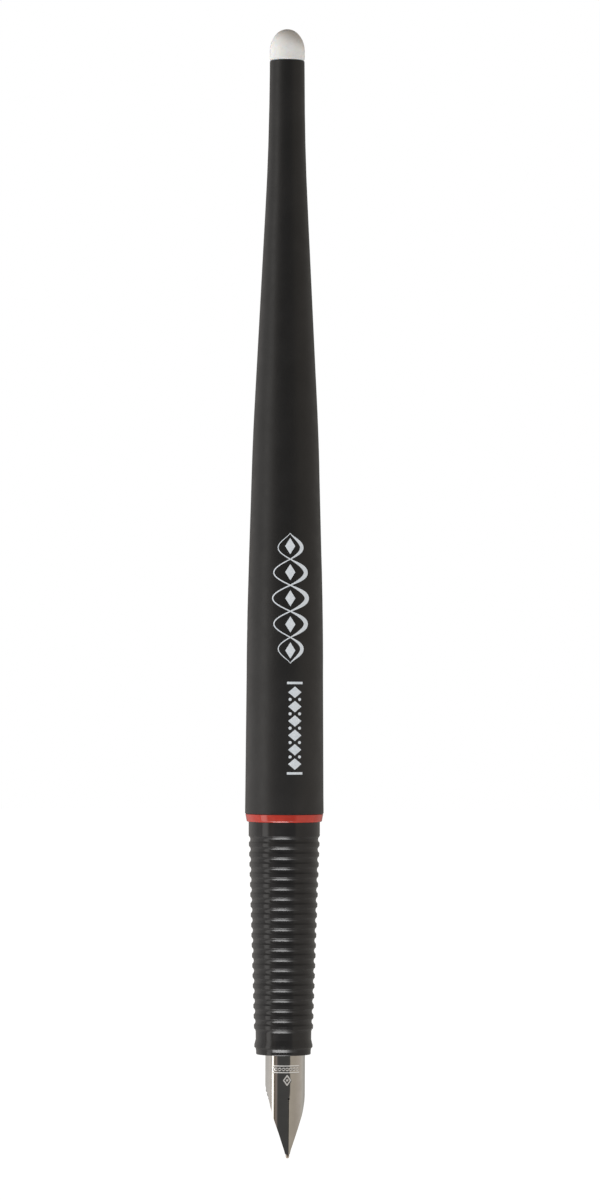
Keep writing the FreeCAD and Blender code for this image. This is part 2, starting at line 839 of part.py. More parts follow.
# ---------------------------------------------------------------- converter


def make_converter_tube(size):
    body = new_body("converter_tube")
    wall = Outline(new_sketch(body, "tube_wall", "XZ_Plane"))
    wall.start(size.mouth_bore_radius, size.mouth_front_z)
    wall.line(size.tube_radius - size.tube_lead_in, size.mouth_front_z)
    wall.line(size.tube_radius, size.mouth_front_z + size.tube_lead_in)
    wall.line(size.tube_radius, size.tube_neck_z)
    wall.line(size.tube_neck_radius, size.tube_neck_z)
    wall.line(size.tube_neck_radius, size.tube_end_z)
    wall.line(size.guide_radius, size.tube_end_z)
    wall.line(size.guide_radius, size.guide_seat_z)
    wall.line(size.reservoir_radius, size.guide_seat_z)
    wall.line(size.reservoir_radius, size.reservoir_start_z)
    wall.line(size.mouth_bore_radius, size.mouth_bore_end_z)
    revolve(body, "tube_turned", wall.close())
    return body


def make_rod_guide(size):
    """A disc whose two-sided hole keeps the rod from turning."""
    body = new_body("rod_guide")
    disc = new_sketch(body, "guide_section", "XZ_Plane")
    rectangle(disc, 0.0, size.guide_seat_z, size.guide_radius, size.guide_end_z)
    revolve(body, "guide_turned", disc)
    flat = size.rod_flat_half + size.rod_clearance
    round_radius = size.rod_crest_radius + size.rod_clearance
    corner = (round_radius * round_radius - flat * flat).root()
    hole = Outline(new_sketch(body, "guide_hole", "XY_Plane"))
    hole.start(-corner, -flat)
    hole.line(corner, -flat)
    hole.arc(corner, flat, round_radius, -1)
    hole.line(-corner, flat)
    cut_through(body, "guide_hole_cut", hole.close(round_radius))
    return body


def make_piston_seal(size):
    """A rubber plug with a lip at each end, pushed onto the rod's foot."""
    body = new_body("piston_seal")
    wall = Outline(new_sketch(body, "seal_wall", "XZ_Plane"))
    front_lip = size.seal_front_z + size.seal_lip
    rear_lip = size.seal_end_z - size.seal_lip
    slope = size.seal_radius - size.seal_waist_radius
    wall.start(0.0, size.seal_front_z)
    wall.line(size.seal_waist_radius, size.seal_front_z)
    wall.line(size.seal_radius, size.seal_front_z + slope)
    wall.line(size.seal_radius, front_lip)
    wall.line(size.seal_waist_radius, front_lip + slope)
    wall.line(size.seal_waist_radius, rear_lip - slope)
    wall.line(size.seal_radius, rear_lip)
    wall.line(size.seal_radius, size.seal_end_z - slope)
    wall.line(size.seal_waist_radius, size.seal_end_z)
    wall.line(size.rod_foot_radius, size.seal_end_z)
    wall.line(size.rod_foot_radius, size.rod_foot_z)
    wall.line(0.0, size.rod_foot_z)
    revolve(body, "seal_turned", wall.close())
    return body


def make_piston_rod(size):
    body = new_body("piston_rod")
    wall = Outline(new_sketch(body, "rod_wall", "XZ_Plane"))
    wall.start(0.0, size.rod_foot_z)
    wall.line(size.rod_foot_radius, size.rod_foot_z)
    wall.line(size.rod_foot_radius, size.seal_end_z)
    wall.line(size.rod_flange_radius, size.seal_end_z)
    wall.line(size.rod_flange_radius, size.rod_flange_end_z)
    wall.line(size.rod_core_radius, size.rod_flange_end_z)
    wall.line(size.rod_core_radius, size.rod_end_z)
    wall.line(0.0, size.rod_end_z)
    revolve(body, "rod_turned", wall.close())
    section = new_sketch(body, "rod_tooth", "XZ_Plane")
    tooth(
        section,
        size.rod_core_radius - size.thread_overlap,
        size.rod_root_half,
        size.rod_crest_radius,
        size.rod_crest_half,
        size.rod_tooth_z,
    )
    helix(body, "rod_thread", "AdditiveHelix", section, size.rod_lead, size.rod_tooth_length)
    # Two flats along the whole thread.
    flats = new_sketch(body, "rod_flats", "XY_Plane", size.rod_flange_end_z)
    outside = size.rod_crest_radius + size.waste_margin
    rectangle(flats, -outside, size.rod_flat_half, outside, outside)
    rectangle(flats, -outside, -outside, outside, -size.rod_flat_half)
    cut_one_way(body, "rod_flats_cut", flats, True)
    return body


def make_drive_nut(size):
    """A flanged nut that turns in the sleeve and carries the knob on its neck."""
    body = new_body("drive_nut")
    wall = Outline(new_sketch(body, "nut_wall", "XZ_Plane"))
    wall.start(size.nut_bore_radius, size.nut_front_z)
    wall.line(size.nut_flange_radius, size.nut_front_z)
    wall.line(size.nut_flange_radius, size.nut_flange_end_z)
    wall.line(size.nut_neck_radius, size.nut_flange_end_z)
    wall.line(size.nut_neck_radius, size.nut_end_z)
    wall.line(size.nut_clear_radius, size.nut_end_z)
    wall.line(size.nut_clear_radius, size.nut_thread_end_z)
    wall.line(size.nut_bore_radius, size.nut_thread_end_z)
    revolve(body, "nut_turned", wall.close())
    # The thread space keeps the rod's phase and runs out at both ends of the nut.
    space = new_sketch(body, "nut_thread_space", "XZ_Plane")
    clearance = size.rod_clearance
    tooth(
        space,
        size.rod_core_radius + clearance,
        size.rod_root_half + clearance,
        size.rod_crest_radius + clearance,
        size.rod_crest_half + clearance,
        size.rod_tooth_z,
    )
    helix(body, "nut_thread", "SubtractiveHelix", space, size.rod_lead, size.rod_lead * 3)
    return body


def make_converter_sleeve(size):
    """The plated band that holds the nut's flange against the tube."""
    body = new_body("converter_sleeve")
    wall = Outline(new_sketch(body, "sleeve_wall", "XZ_Plane"))
    wall.start(size.tube_neck_radius, size.tube_neck_z)
    wall.line(size.sleeve_radius, size.tube_neck_z)
    low_groove = size.tube_neck_z + size.sleeve_groove_inset
    high_groove = size.sleeve_end_z - size.sleeve_groove_inset
    groove_arc = arc_radius(size.sleeve_groove_half, size.sleeve_groove_depth)
    for middle_z in (low_groove, high_groove):
        wall.line(size.sleeve_radius, middle_z - size.sleeve_groove_half)
        wall.arc(size.sleeve_radius, middle_z + size.sleeve_groove_half, groove_arc, 1)
    wall.line(size.sleeve_radius, size.sleeve_end_z)
    wall.line(size.sleeve_lip_radius, size.sleeve_end_z)
    wall.line(size.sleeve_lip_radius, size.sleeve_step_z)
    wall.line(size.tube_neck_radius, size.sleeve_step_z)
    revolve(body, "sleeve_turned", wall.close())
    return body


def make_converter_knob(size):
    body = new_body("converter_knob")
    wall = Outline(new_sketch(body, "knob_wall", "XZ_Plane"))
    wall.start(size.nut_neck_radius, size.knob_front_z)
    wall.line(size.knob_radius, size.knob_front_z)
    wall.line(size.knob_radius, size.knob_end_z - size.knob_round)
    wall.arc(size.knob_radius - size.knob_round, size.knob_end_z, size.knob_round, -1)
    wall.line(0.0, size.knob_end_z)
    wall.line(0.0, size.knob_bore_end_z)
    wall.line(size.knob_bore_radius, size.knob_bore_end_z)
    wall.line(size.knob_bore_radius, size.nut_end_z)
    wall.line(size.nut_neck_radius, size.nut_end_z)
    revolve(body, "knob_turned", wall.close())
    # Finger flutes all round.
    flute = new_sketch(body, "knob_flute", "XY_Plane", size.flute_start_z)
    circle(flute, size.flute_circle_radius, 0.0, size.flute_radius)
    cut = cut_one_way(body, "knob_flute_cut", flute, True)
    cut.Type = "Length"
    bind(cut, "Length", size.flute_end_z - size.flute_start_z)
    ring_of(body, "knob_flutes", cut, KNOB_FLUTES)
    return body


# ---------------------------------------------------------------- the pen


def checked(parts):
    """Stop if any object failed to compute or any part has no sound shape."""
    for thing in DOC.Objects:
        if "Invalid" in thing.State or "Error" in thing.State:
            raise RuntimeError(thing.Label + " did not compute: " + str(thing.State))
    for part in parts:
        if part.Shape.isNull() or not part.Shape.isValid():
            raise RuntimeError(part.Label + " has no valid shape")
    return parts


def main():
    size = Sizes(SIZES)
    makers = (
        make_barrel,
        make_tail_plug,
        make_red_ring,
        make_grip_section,
        make_nib,
        make_nib_point,
        make_feed,
        make_feed_core,
        make_converter_tube,
        make_rod_guide,
        make_piston_seal,
        make_piston_rod,
        make_drive_nut,
        make_converter_sleeve,
        make_converter_knob,
    )
    parts = [make(size) for make in makers]
    DOC.recompute()
    os.makedirs("parts", exist_ok=True)
    for part in checked(parts):
        part.Shape.exportStep("parts/" + part.Label + ".step")
        print(part.Label, len(part.Shape.Solids), "solids", round(part.Shape.Volume, 2), "mm3")


main()
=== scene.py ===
import json
import math

import bmesh
import bpy
import numpy as np
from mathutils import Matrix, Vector


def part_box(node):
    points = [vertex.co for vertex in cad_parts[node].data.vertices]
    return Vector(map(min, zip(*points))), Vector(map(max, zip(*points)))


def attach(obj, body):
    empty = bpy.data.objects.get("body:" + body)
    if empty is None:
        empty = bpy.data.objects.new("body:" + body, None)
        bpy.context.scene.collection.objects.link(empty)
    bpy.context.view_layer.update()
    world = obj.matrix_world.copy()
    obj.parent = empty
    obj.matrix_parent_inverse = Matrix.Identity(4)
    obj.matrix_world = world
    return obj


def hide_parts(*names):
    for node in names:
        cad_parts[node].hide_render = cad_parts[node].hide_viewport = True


# A sketching pen, uncapped, point down. Blender's Z is the pen's axis, the nib's upper face looks
# towards -Y, and every length below is in millimetres until MM turns it into metres.

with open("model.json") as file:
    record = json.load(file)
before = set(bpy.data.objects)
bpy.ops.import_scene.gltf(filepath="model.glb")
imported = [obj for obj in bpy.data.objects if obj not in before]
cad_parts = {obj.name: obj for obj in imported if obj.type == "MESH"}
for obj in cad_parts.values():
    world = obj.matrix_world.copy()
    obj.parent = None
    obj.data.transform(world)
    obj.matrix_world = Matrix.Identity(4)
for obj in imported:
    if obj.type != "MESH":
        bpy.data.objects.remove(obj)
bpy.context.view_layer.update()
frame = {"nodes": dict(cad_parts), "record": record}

MM = 0.001
NODES = frame["nodes"]


def low_z(node):
    """Height of a CAD node's lowest point, in millimetres."""
    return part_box(node)[0].z / MM


def high_z(node):
    """Height of a CAD node's highest point, in millimetres."""
    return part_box(node)[1].z / MM


def new_piece(name, mesh):
    """A new object in the scene, made of a finished bmesh."""
    data = bpy.data.meshes.new(name)
    mesh.to_mesh(data)
    mesh.free()
    piece = bpy.data.objects.new(name, data)
    bpy.context.scene.collection.objects.link(piece)
    return piece


# ---------------------------------------------------------------- the camera

VIEW_AZIMUTH = math.radians(-14.5)
ROLL = math.radians(0.22)
LENS = 160.0
SENSOR = 36.0
FRAME_HEIGHT = 201.85 * MM
EYE_HEIGHT = 85.0 * MM
AIM_HEIGHT = 93.57 * MM
AIM_RIGHT = 2.5 * MM
SIGHT_LIMIT = 100000.0 * MM
# Level directions: from the pen to the camera, and to the right in its picture.
BACK = Vector((math.sin(VIEW_AZIMUTH), -math.cos(VIEW_AZIMUTH), 0.0))
RIGHT = Vector((math.cos(VIEW_AZIMUTH), math.sin(VIEW_AZIMUTH), 0.0))


def add_camera():
    """A long lens, just below the middle of the pen and a little to the left of its nib."""
    data = bpy.data.cameras.new("camera")
    data.lens = LENS
    data.sensor_width = SENSOR
    data.clip_end = SIGHT_LIMIT
    camera = bpy.data.objects.new("camera", data)
    bpy.context.scene.collection.objects.link(camera)
    aim = Vector((0.0, 0.0, AIM_HEIGHT)) + RIGHT * AIM_RIGHT
    camera.location = aim + BACK * (LENS * FRAME_HEIGHT / SENSOR)
    camera.location.z = EYE_HEIGHT
    camera.rotation_euler = (aim - camera.location).to_track_quat("-Z", "Y").to_euler()
    camera.rotation_euler.rotate_axis("Z", ROLL)
    bpy.context.scene.camera = camera


add_camera()

# ---------------------------------------------------------------- materials


class Nodes:
    """A shader's node tree, emptied, and short ways to build it."""

    def __init__(self, tree):
        self.tree = tree
        tree.nodes.clear()

    def node(self, kind, inputs=(), **properties):
        """A new node with its properties set and its inputs linked or given values."""
        made = self.tree.nodes.new(kind)
        for name, value in properties.items():
            setattr(made, name, value)
        for name, value in dict(inputs).items():
            if isinstance(value, bpy.types.NodeSocket):
                self.tree.links.new(value, made.inputs[name])
            else:
                made.inputs[name].default_value = value
        return made

    def calculate(self, operation, *values):
        return self.node("ShaderNodeMath", dict(enumerate(values)), operation=operation).outputs[0]

    def times(self, first, second):
        return self.calculate("MULTIPLY", first, second)

    def plus(self, first, second):
        return self.calculate("ADD", first, second)

    def along(self, place, direction):
        """How far a place lies in a direction."""
        inputs = {0: place, 1: tuple(direction)}
        return self.node("ShaderNodeVectorMath", inputs, operation="DOT_PRODUCT").outputs["Value"]

    def angle_round(self, place):
        """A place's angle round the pen, in degrees to the right of the camera's side."""
        angle = self.calculate("ARCTAN2", self.along(place, RIGHT), self.along(place, BACK))
        return self.times(angle, math.degrees(1.0))

    def mixed(self, kind, share, first, second):
        """Two colours blended as kind says: MIX, ADD or MULTIPLY."""
        inputs = {0: share, 6: first, 7: second}
        return self.node("ShaderNodeMix", inputs, data_type="RGBA", blend_type=kind).outputs[2]

    def ramp(self, value, stops, low, high):
        """A colour for value, which runs from low to high, by its stops."""
        node = self.node("ShaderNodeValToRGB")
        elements = node.color_ramp.elements
        while len(elements) < len(stops):
            elements.new(0.5)
        for element, (place, color) in zip(elements, stops):
            element.position = (place - low) / (high - low)
            element.color = (*color, 1.0)
        ranged = self.node("ShaderNodeMapRange", {"Value": value, "From Min": low, "From Max": high})
        self.tree.links.new(ranged.outputs["Result"], node.inputs["Fac"])
        return node.outputs["Color"]


class Look(Nodes):
    """A procedural material: a Principled shader and short ways to feed its sockets."""

    def __init__(self, name, **sockets):
        self.material = bpy.data.materials.new(name)
        self.material.use_nodes = True
        super().__init__(self.material.node_tree)
        self.shader = self.node("ShaderNodeBsdfPrincipled")
        self.output = self.node("ShaderNodeOutputMaterial", {"Surface": self.shader.outputs["BSDF"]})
        self.place = self.node("ShaderNodeTexCoord").outputs["Object"]
        self.normal = None
        for socket, value in sockets.items():
            self.shader.inputs[socket.replace("_", " ")].default_value = value

    def feed(self, socket, output):
        self.tree.links.new(output, self.shader.inputs[socket])
        return self

    def noise(self, per_mm, detail=2.0, stretch=(1.0, 1.0, 1.0), offset=0.0):
        """Noise with per_mm features to the millimetre, drawn out along the axes by stretch."""
        squeeze = [1.0 / s for s in stretch]
        inputs = {"Vector": self.place, "Scale": squeeze, "Location": (offset, offset, offset)}
        mapped = self.node("ShaderNodeMapping", inputs)
        inputs = {"Vector": mapped.outputs["Vector"], "Scale": per_mm / MM, "Detail": detail}
        return self.node("ShaderNodeTexNoise", inputs).outputs["Fac"]

    def span(self, value, start, end, low=0.0, high=1.0):
        """Value from start to end, spread smoothly over low to high."""
        inputs = {"Value": value, "From Min": start, "From Max": end, "To Min": low, "To Max": high}
        ranged = self.node("ShaderNodeMapRange", inputs, interpolation_type="SMOOTHSTEP")
        return ranged.outputs["Result"]

    def height(self):
        """The place's height along the pen, in metres."""
        return self.node("ShaderNodeSeparateXYZ", {"Vector": self.place}).outputs["Z"]

    def colors(self, factor, first, second):
        """A colour between two, by factor. Either may be a colour or another node's output."""
        pair = (first, second)
        ends = [end if isinstance(end, bpy.types.NodeSocket) else (*end, 1.0) for end in pair]
        return self.mixed("MIX", factor, *ends)

    def bump(self, height, rise, strength=1.0):
        """Relief of rise millimetres, on top of any relief already there."""
        inputs = {"Height": height, "Distance": rise * MM, "Strength": strength}
        if self.normal is not None:
            inputs["Normal"] = self.normal
        self.normal = self.node("ShaderNodeBump", inputs).outputs["Normal"]
        return self.feed("Normal", self.normal)

    def between(self, low_edge, high_edge, soft):
        """One between two heights in millimetres and nothing outside them, with soft edges."""
        height = self.height()
        rise = self.span(height, (low_edge - soft) * MM, low_edge * MM)
        fall = self.span(height, high_edge * MM, (high_edge + soft) * MM, 1.0, 0.0)
        return self.times(rise, fall)


# How far up from its foot the barrel grows paler, and how wide its polished rims are. Their
# masks run on past its two ends.
PALER_REACH = 48.0
FOOT_RIM = 0.15
HEAD_RIM = 0.25
RIM_SOFT = 0.5
PAST_END = 1.0


def matt_black():
    """The barrel: matt moulded plastic with a fine eroded grain, polished at its two rims."""
    look = Look("barrel_black", IOR=1.5)
    mottling = look.noise(0.18, detail=4.0)
    cloud = look.span(mottling, 0.35, 0.65)
    darker_base = look.colors(cloud, (0.0192, 0.0188, 0.0187), (0.0222, 0.0217, 0.0216))
    paler_base = look.colors(cloud, (0.0300, 0.0292, 0.0290), (0.0345, 0.0335, 0.0332))
    foot, head = low_z("barrel"), high_z("barrel")
    # It is a little paler towards the grip.
    base = look.colors(look.span(look.height(), (foot + PALER_REACH) * MM, foot * MM), darker_base, paler_base)
    foot_rim = look.between(foot - PAST_END, foot + FOOT_RIM, RIM_SOFT)
    head_rim = look.between(head - HEAD_RIM, head + PAST_END, RIM_SOFT)
    worn = look.times(look.plus(foot_rim, head_rim), look.span(look.noise(2.5, detail=3.0), 0.4, 0.7))
    look.feed("Base Color", look.colors(worn, base, (0.022, 0.021, 0.020)))
    rough = look.span(look.noise(0.6, detail=5.0, offset=3.0), 0.3, 0.7, 0.40, 0.47)
    look.feed("Roughness", look.plus(rough, look.times(worn, -0.1)))
    look.bump(look.noise(7.0, detail=3.0), 0.006)
    look.bump(look.noise(1.6, detail=2.0), 0.004)
    return look.material


def gloss_black(name, base, roughness):
    """Polished moulded plastic with faint smears and hairlines that run round it."""
    look = Look(name, IOR=1.46)
    cloud = look.span(look.noise(0.25, detail=3.0), 0.35, 0.65)
    look.feed("Base Color", look.colors(cloud, base, [c * 1.18 for c in base]))
    smear = look.span(look.noise(0.7, detail=4.0, stretch=(1.0, 1.0, 2.5)), 0.35, 0.75)
    look.feed("Roughness", look.span(smear, 0.0, 1.0, roughness, roughness + 0.07))
    look.bump(look.noise(0.9, detail=1.0), 0.004)
    look.bump(look.noise(6.0, detail=2.0, stretch=(6.0, 6.0, 0.6)), 0.0008)
    return look.material


def gloss_red():
    """The trim ring: bright red plastic, polished, slightly deeper where it is thick."""
    look = Look("ring_red", IOR=1.7, Subsurface_Weight=0.12, Subsurface_Scale=0.4 * MM)
    cloud = look.span(look.noise(0.8, detail=3.0), 0.3, 0.7)
    look.feed("Base Color", look.colors(cloud, (0.55, 0.047, 0.030), (0.62, 0.057, 0.038)))
    look.feed("Roughness", look.span(look.noise(1.4, detail=4.0), 0.3, 0.7, 0.09, 0.17))
    look.bump(look.noise(5.0, detail=2.0, stretch=(5.0, 5.0, 0.7)), 0.001)
    return look.material


# Painted shade darkens the plug's tip from this far below its top to this far, along a line that leans to
# +X.
PAINTED_SHADE_FROM = 3.3
PAINTED_SHADE_TO = 0.3
PAINTED_SHADE_LEAN = (0.55, 0.0, 1.0)
# The painted bright line at its foot, which glows though it is no lamp.
PAINTED_GLOW_WIDTH = 0.08
PAINTED_GLOW_SOFT = 0.12
PAINTED_GLOW_STRENGTH = 0.11


def milky():
    """The tail plug: translucent white plastic, lightly clouded, with handling scuffs, painted shade at its
    tip and a painted glow at its foot.
    """
    look = Look("plug_milky", IOR=1.49, Subsurface_Weight=1.0, Subsurface_Scale=0.3 * MM)
    look.shader.inputs["Subsurface Radius"].default_value = (2.4, 2.1, 1.8)
    cloud = look.span(look.noise(0.5, detail=4.0), 0.3, 0.7)
    body = look.colors(cloud, (0.91, 0.90, 0.88), (0.94, 0.935, 0.92))
    # Painted shade: its tip is coloured darker, and more so towards +X.
    top = high_z("tail_plug")
    leaning = look.along(look.place, PAINTED_SHADE_LEAN)
    painted_shade = look.span(leaning, (top - PAINTED_SHADE_FROM) * MM, (top - PAINTED_SHADE_TO) * MM)
    look.feed("Base Color", look.colors(painted_shade, body, (0.61, 0.575, 0.53)))
    # Painted light: a thin bright line glows at its foot, standing in for light that runs down inside it.
    look.shader.inputs["Emission Color"].default_value = (1.0, 0.99, 0.97, 1.0)
    foot = high_z("barrel")
    line = look.between(foot, foot + PAINTED_GLOW_WIDTH, PAINTED_GLOW_SOFT)
    look.feed("Emission Strength", look.times(line, PAINTED_GLOW_STRENGTH))
    look.feed("Roughness", look.span(look.noise(1.2, detail=4.0), 0.3, 0.7, 0.22, 0.34))
    look.bump(look.noise(3.5, detail=3.0), 0.003)
    return look.material


def steel():
    """The nib: polished sheet with fine grinding lines that run towards the point."""
    look = Look("nib_steel", Metallic=1.0)
    cloud = look.span(look.noise(0.5, detail=4.0), 0.3, 0.7)
    look.feed("Base Color", look.colors(cloud, (0.78, 0.765, 0.735), (0.85, 0.835, 0.805)))
    streak = look.noise(9.0, detail=3.0, stretch=(1.0, 1.0, 40.0))
    smear = look.noise(0.9, detail=4.0)
    rough = look.plus(look.span(streak, 0.3, 0.7, 0.05, 0.09), look.span(smear, 0.4, 0.7, 0.0, 0.03))
    look.feed("Roughness", rough)
    look.bump(streak, 0.0006)
    look.bump(look.noise(1.2, detail=1.0), 0.0015)
    return look.material


def stamped_steel():
    """The floor of the nib's marked lines: the same steel, etched to a pale matt frost."""
    look = Look("nib_stamping", Metallic=0.1)
    cloud = look.noise(4.0, detail=4.0)
    look.feed("Base Color", look.colors(cloud, (0.56, 0.55, 0.53), (0.78, 0.77, 0.75)))
    look.feed("Roughness", look.span(cloud, 0.3, 0.7, 0.38, 0.55))
    look.bump(look.noise(12.0, detail=2.0), 0.003)
    return look.material


def pellet_metal():
    """The writing point: hard sintered alloy, ground smooth, browned by ink."""
    look = Look("point_metal", Metallic=1.0)
    stain = look.span(look.noise(2.2, detail=4.0), 0.35, 0.7)
    look.feed("Base Color", look.colors(stain, (0.60, 0.53, 0.45), (0.38, 0.31, 0.24)))
    look.feed("Roughness", look.span(stain, 0.0, 1.0, 0.22, 0.42))
    look.bump(look.noise(9.0, detail=3.0), 0.003)
    return look.material


def satin_black():
    """The feed: unpolished moulded plastic, a little shinier where ink has dried on it."""
    look = Look("feed_black", IOR=1.5)
    stain = look.span(look.noise(0.6, detail=4.0), 0.45, 0.7)
    look.feed("Base Color", look.colors(stain, (0.016, 0.016, 0.017), (0.010, 0.011, 0.018)))
    look.feed("Roughness", look.span(stain, 0.0, 1.0, 0.42, 0.22))
    look.bump(look.noise(5.0, detail=3.0), 0.006)
    return look.material


def clear():
    """The converter's tube: clear plastic with fine scratches along it."""
    look = Look("tube_clear", IOR=1.49, Transmission_Weight=1.0)
    cloud = look.noise(0.5, detail=3.0)
    look.feed("Base Color", look.colors(cloud, (0.93, 0.95, 0.96), (0.86, 0.90, 0.93)))
    scratch = look.noise(6.0, detail=3.0, stretch=(1.0, 1.0, 30.0))
    look.feed("Roughness", look.span(scratch, 0.4, 0.75, 0.03, 0.14))
    look.bump(scratch, 0.0008)
    return look.material


def white_plastic():
    """The converter's inner works: white moulded plastic with faint flow marks."""
    look = Look("inner_white", IOR=1.5)
    flow = look.span(look.noise(0.7, detail=4.0, stretch=(1.0, 1.0, 4.0)), 0.3, 0.7)
    look.feed("Base Color", look.colors(flow, (0.68, 0.68, 0.65), (0.76, 0.76, 0.74)))
    look.feed("Roughness", look.span(flow, 0.0, 1.0, 0.25, 0.36))
    look.bump(look.noise(4.0, detail=2.0), 0.003)
    return look.material


def rubber():
    """The piston seal: soft black rubber with a bloom of fine dust."""
    look = Look("seal_rubber", IOR=1.45)
    bloom = look.span(look.noise(3.0, detail=5.0), 0.4, 0.7)
    look.feed("Base Color", look.colors(bloom, (0.02, 0.02, 0.02), (0.045, 0.045, 0.046)))
    look.feed("Roughness", look.span(bloom, 0.0, 1.0, 0.5, 0.75))
    look.bump(look.noise(6.0, detail=3.0), 0.008)
    return look.material


def chrome():
    """The converter's band: bright plating over lines turned round the sleeve."""
    look = Look("sleeve_chrome", Metallic=1.0)
    turned = look.noise(12.0, detail=2.0, stretch=(60.0, 60.0, 1.0))
    cloud = look.noise(0.8, detail=4.0)
    look.feed("Base Color", look.colors(cloud, (0.70, 0.70, 0.71), (0.60, 0.60, 0.60)))
    look.feed("Roughness", look.span(turned, 0.35, 0.7, 0.06, 0.16))
    look.bump(turned, 0.0006)
    return look.material


def silver_ink():
    """The printed ornament: pale silver ink, slightly uneven, as from a pad."""
    look = Look("print_silver", IOR=1.45)
    grain = look.span(look.noise(3.0, detail=4.0), 0.3, 0.7)
    look.feed("Base Color", look.colors(grain, (0.80, 0.87, 0.94), (0.90, 0.95, 1.0)))
    look.feed("Roughness", look.span(grain, 0.0, 1.0, 0.38, 0.5))
    look.bump(look.noise(9.0, detail=2.0), 0.002)
    return look.material


def wear(piece, *looks):
    """Give a piece its materials, in order of their slots.

    Clearing the list puts every face in the first slot, so a new piece's empty list isn't cleared.
    """
    if piece.data.materials:
        piece.data.materials.clear()
    for look in looks:
        piece.data.materials.append(look)


FEED_BLACK = satin_black()
INNER_WHITE = white_plastic()
NODE_LOOKS = {
    "barrel": matt_black(),
    "tail_plug": milky(),
    "grip_section": gloss_black("grip_black", (0.0275, 0.0268, 0.0272), 0.13),
    "feed": FEED_BLACK,
    "feed_core": FEED_BLACK,
    "converter_tube": clear(),
    "rod_guide": INNER_WHITE,
    "piston_seal": rubber(),
    "piston_rod": INNER_WHITE,
    "drive_nut": INNER_WHITE,
    "converter_sleeve": chrome(),
    "converter_knob": gloss_black("knob_black", (0.018, 0.018, 0.018), 0.18),
}
for node, look in NODE_LOOKS.items():
    wear(NODES[node], look)

# ---------------------------------------------------------------- the nib

NIB_TOP = high_z("nib")
NIB_RADIUS = -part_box("nib")[0].y / MM
NIB_SHEET = 0.3
NIB_WRAP = math.radians(70.0)
NIB_SIDE = NIB_RADIUS * math.sin(NIB_WRAP)
NIB_TIP = 0.62
TIP_ROUND = 0.2
DROOP_TOP = 6.95
# Heights and half widths of the left tine and of the right one, from the point up.
LEFT_TINE = (
    (0.62, 0.50), (1.4, 0.72), (2.4, 1.05), (4.4, 1.66), (6.4, 2.31), (6.9, 2.45),
    (8.4, 2.76), (10.4, 3.10), (11.4, 3.32), (12.2, NIB_SIDE), (NIB_TOP, NIB_SIDE),
)
RIGHT_TINE = (
    (0.62, 0.25), (1.4, 0.43), (2.4, 0.79), (4.4, 1.54), (6.4, 2.31), (7.4, 2.74),
    (8.4, 3.07), (9.4, 3.33), (10.4, NIB_SIDE), (NIB_TOP, NIB_SIDE),
)
# Across the sheet: a wide arc, a tighter bend either side of it, then a flatter flank.
BEND_FROM = 2.3
BEND_TO = 2.68
BEND_RADIUS = 2.1
FLANK_RADIUS = 10.4
BREATHER_Z = 10.0
BREATHER_RADIUS = 0.16
SLIT_HALF = 0.035
CREASE_TOP = 11.6
CREASE_FOOT = 8.4
CREASE_SLOPE = math.tan(math.radians(6.5))
CREASE_REACH = 0.4
DROOP = 0.05
STAMP_DEPTH = 0.05
STAMP_SOFT = 0.05
# A face is in the ornament where the depths at its four corners add up to more than this.
STAMP_SHARE = 2.2
# The mesh: rows this far apart in the ornament, below it and above it, and columns for each tine.
ORNAMENT_FOOT, ORNAMENT_HEAD = 12.1, 15.95
ORNAMENT_ROW, LOW_ROW, HIGH_ROW = 0.055, 0.16, 0.4
LEAST_ROW = 0.012
LEAST_HALF = 0.02
NIB_COLUMNS = 62
NIB_WELD = 0.002
EDGE_ROUND = 0.035
EDGE_ANGLE = math.radians(50.0)


def smooth(value, start, end):
    """0 at start, 1 at end, with no corner at either."""
    share = min(max((value - start) / (end - start), 0.0), 1.0)
    return share * share * (3.0 - 2.0 * share)


def nib_half(z, side):
    """How far the sheet reaches to one side at height z, measured across the pen."""
    heights, halves = zip(*(RIGHT_TINE if side > 0.0 else LEFT_TINE))
    corner = 1.0 - min((z - NIB_TIP) / TIP_ROUND, 1.0)
    return float(np.interp(z, heights, halves)) * math.sqrt(max(0.0, 1.0 - corner * corner))


def nib_gap(z):
    """Half of the gap between the two tines at height z: the slit, then the breather hole."""
    away = z - BREATHER_Z
    hole = math.sqrt(max(0.0, BREATHER_RADIUS**2 - away * away))
    return max(hole, SLIT_HALF if away < 0.0 else 0.0)


def sheet_depth(x):
    """How far the rolled sheet's upper face stands forward of the axis, x across the pen."""
    depth, sine, start = NIB_RADIUS, 0.0, 0.0
    for end, radius in ((BEND_FROM, NIB_RADIUS), (BEND_TO, BEND_RADIUS), (NIB_RADIUS, FLANK_RADIUS)):
        reach = max(0.0, min(abs(x), end) - start)
        after = sine + reach / radius
        depth += radius * (math.sqrt(1.0 - after * after) - math.sqrt(1.0 - sine * sine))
        sine, start = after, end
    return depth


def nib_depth(x, z):
    """The same with the crease along the slit and the droop of the point."""
    droop = DROOP * (1.0 - smooth(z, NIB_TIP, DROOP_TOP)) ** 2
    bent = CREASE_SLOPE * CREASE_REACH * (1.0 - math.exp(-abs(x) / CREASE_REACH))
    return sheet_depth(x) - bent * (1.0 - smooth(z, CREASE_FOOT, CREASE_TOP)) - droop


def line_away(x, z, start, end):
    """Distance from (x, z) to the line from start to end."""
    run, rise = end[0] - start[0], end[1] - start[1]
    share = ((x - start[0]) * run + (z - start[1]) * rise) / (run * run + rise * rise)
    share = min(max(share, 0.0), 1.0)
    return math.hypot(x - start[0] - share * run, z - start[1] - share * rise)


